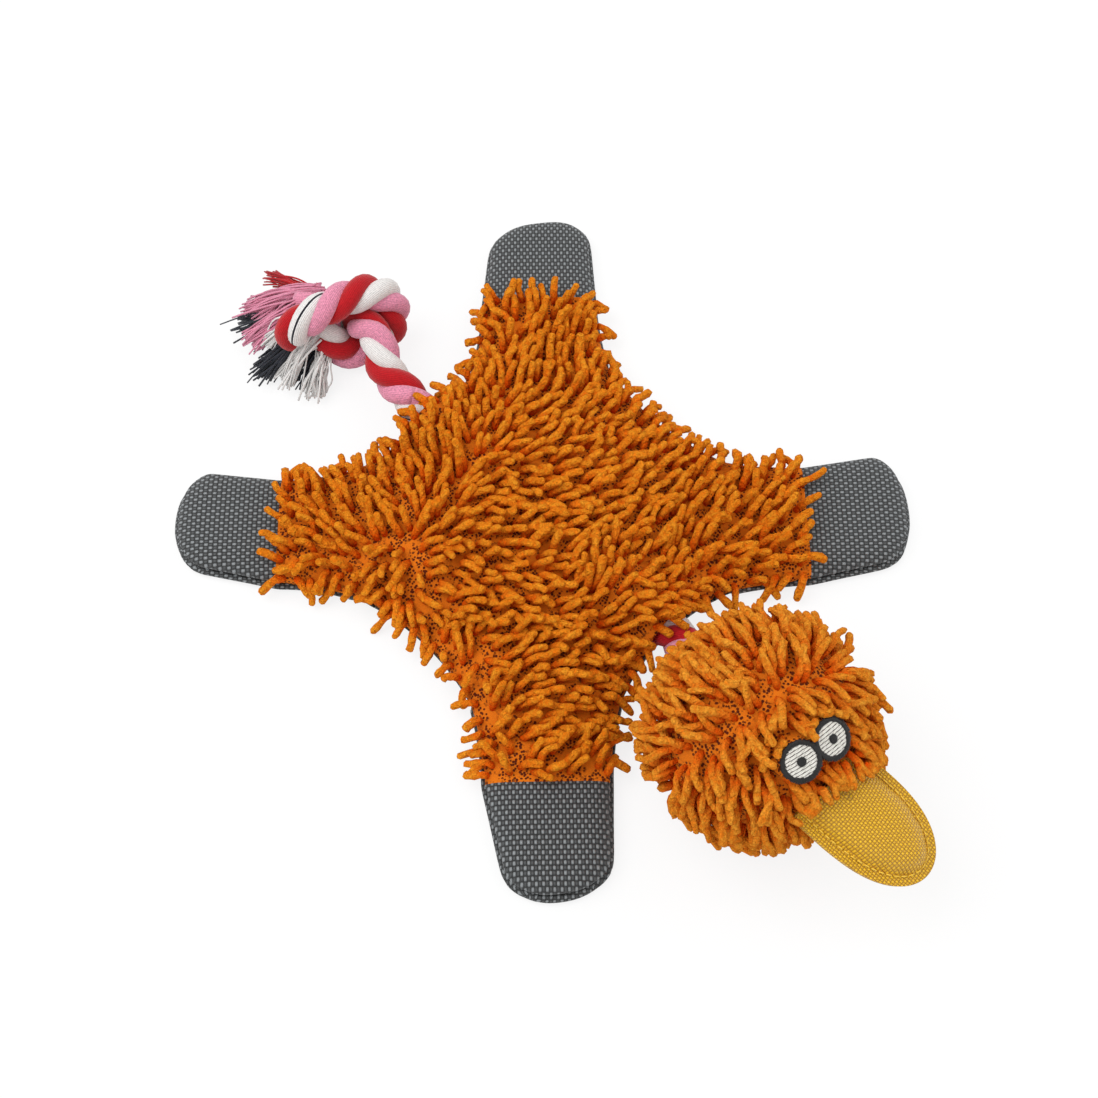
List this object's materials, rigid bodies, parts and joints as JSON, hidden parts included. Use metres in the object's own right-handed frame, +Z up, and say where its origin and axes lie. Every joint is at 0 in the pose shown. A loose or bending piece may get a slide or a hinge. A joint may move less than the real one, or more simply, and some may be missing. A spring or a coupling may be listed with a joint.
{
  "type": "squeaky plush dog toy",
  "caption": "Flat plush duck dog toy with spread legs, nylon paws and bill, a squeaker in its round head, and a twisted rope running from a frayed knot at the tail to the head.",
  "frame": {"origin": "on the floor under the belly, midway between the four leg folds", "axes": "+Z up from the floor, -Y towards the bill, +X towards the duck's left"},
  "size_m": [0.2102, 0.3468, 0.0715],
  "materials": {
    "orange_plush": "chenille noodle pile on a knitted backing",
    "head_plush": "chenille noodle pile on a knitted backing",
    "grey_nylon": "coarse plain-woven nylon",
    "yellow_nylon": "coarse plain-woven nylon",
    "fibre_fill": "loose polyester fibre",
    "cotton_rope": "twisted cotton strands in red, pink and white",
    "cotton_yarn": "loose cotton yarns in pink, white, red and charcoal",
    "white_thread": "satin-stitched thread",
    "black_thread": "satin-stitched thread",
    "squeaker_shell": "soft moulded plastic",
    "reed_plastic": "hard moulded plastic"
  },
  "bodies": {
    "torso": {"torso_pelt": "orange_plush", "torso_belly": "grey_nylon", "torso_wadding": "fibre_fill", "rope_torso_run": "cotton_rope"},
    "leg_front_left": {"leg_front_left_pelt": "orange_plush", "leg_front_left_paw_top": "grey_nylon", "leg_front_left_underside": "grey_nylon", "leg_front_left_wadding": "fibre_fill"},
    "leg_front_right": {"leg_front_right_pelt": "orange_plush", "leg_front_right_paw_top": "grey_nylon", "leg_front_right_underside": "grey_nylon", "leg_front_right_wadding": "fibre_fill"},
    "leg_rear_left": {"leg_rear_left_pelt": "orange_plush", "leg_rear_left_paw_top": "grey_nylon", "leg_rear_left_underside": "grey_nylon", "leg_rear_left_wadding": "fibre_fill"},
    "leg_rear_right": {"leg_rear_right_pelt": "orange_plush", "leg_rear_right_paw_top": "grey_nylon", "leg_rear_right_underside": "grey_nylon", "leg_rear_right_wadding": "fibre_fill"},
    "neck": {"rope_neck": "cotton_rope"},
    "head_root": {"rope_head_stub": "cotton_rope"},
    "head": {"head_upper_cover": "head_plush", "head_lower_cover": "head_plush", "head_upper_stuffing": "fibre_fill", "head_lower_stuffing": "fibre_fill", "squeaker_cup": "squeaker_shell", "squeaker_reed_tube": "reed_plastic", "squeaker_reed": "reed_plastic", "eye_left_pupil": "black_thread", "eye_left_white": "white_thread", "eye_left_border": "black_thread", "eye_right_pupil": "black_thread", "eye_right_white": "white_thread", "eye_right_border": "black_thread"},
    "squeaker_press_cap": {"squeaker_cap": "squeaker_shell"},
    "bill": {"bill_upper": "yellow_nylon", "bill_lower": "yellow_nylon", "bill_wadding": "fibre_fill"},
    "tail": {"rope_tail": "cotton_rope"},
    "tail_end": {"tail_knot": "cotton_rope", "tail_tassel": "cotton_yarn"}
  },
  "joints": [
    {"name": "leg_front_left_fold", "type": "hinge", "parent": "torso", "child": "leg_front_left", "pos_m": [0.0495, -0.0495, 0.004], "axis": [-0.7071, -0.7071, 0], "range_deg": [-60, 60]},
    {"name": "leg_rear_left_fold", "type": "hinge", "parent": "torso", "child": "leg_rear_left", "pos_m": [0.0495, 0.0495, 0.004], "axis": [0.7071, -0.7071, 0], "range_deg": [-60, 60]},
    {"name": "leg_rear_right_fold", "type": "hinge", "parent": "torso", "child": "leg_rear_right", "pos_m": [-0.0495, 0.0495, 0.004], "axis": [0.7071, 0.7071, 0], "range_deg": [-60, 60]},
    {"name": "leg_front_right_fold", "type": "hinge", "parent": "torso", "child": "leg_front_right", "pos_m": [-0.0495, -0.0495, 0.004], "axis": [-0.7071, 0.7071, 0], "range_deg": [-60, 60]},
    {"name": "neck_lift", "type": "hinge", "parent": "torso", "child": "neck", "pos_m": [0, -0.067, 0.0125], "axis": [-1, 0, 0], "range_deg": [-25, 30]},
    {"name": "head_turn", "type": "hinge", "parent": "neck", "child": "head_root", "pos_m": [-0.00254, -0.07673, 0.01737], "axis": [0, 0, 1], "range_deg": [-15, 15]},
    {"name": "head_twist", "type": "hinge", "parent": "head_root", "child": "head", "pos_m": [-0.012, -0.113, 0.0355], "axis": [-0.2272, -0.871, 0.4355], "range_deg": [-30, 30]},
    {"name": "squeaker_press", "type": "slide", "parent": "head", "child": "squeaker_press_cap", "axis": [0, 0, -1], "range_m": [0, 0.0055], "stiffness_N_per_m": 1000},
    {"name": "bill_flex", "type": "hinge", "parent": "head", "child": "bill", "pos_m": [-0.0145, -0.1521, 0.0445], "axis": [-0.9903, -0.1392, 0], "range_deg": [-18, 12], "stiffness_Nm_per_rad": 0.02},
    {"name": "tail_sway", "type": "hinge", "parent": "torso", "child": "tail", "pos_m": [0, 0.067, 0.0125], "axis": [0, 0, 1], "range_deg": [-30, 30]},
    {"name": "tail_lift", "type": "hinge", "parent": "tail", "child": "tail_end", "pos_m": [0.002, 0.086, 0.016], "axis": [1, 0, 0], "range_deg": [-15, 60]}
  ]
}
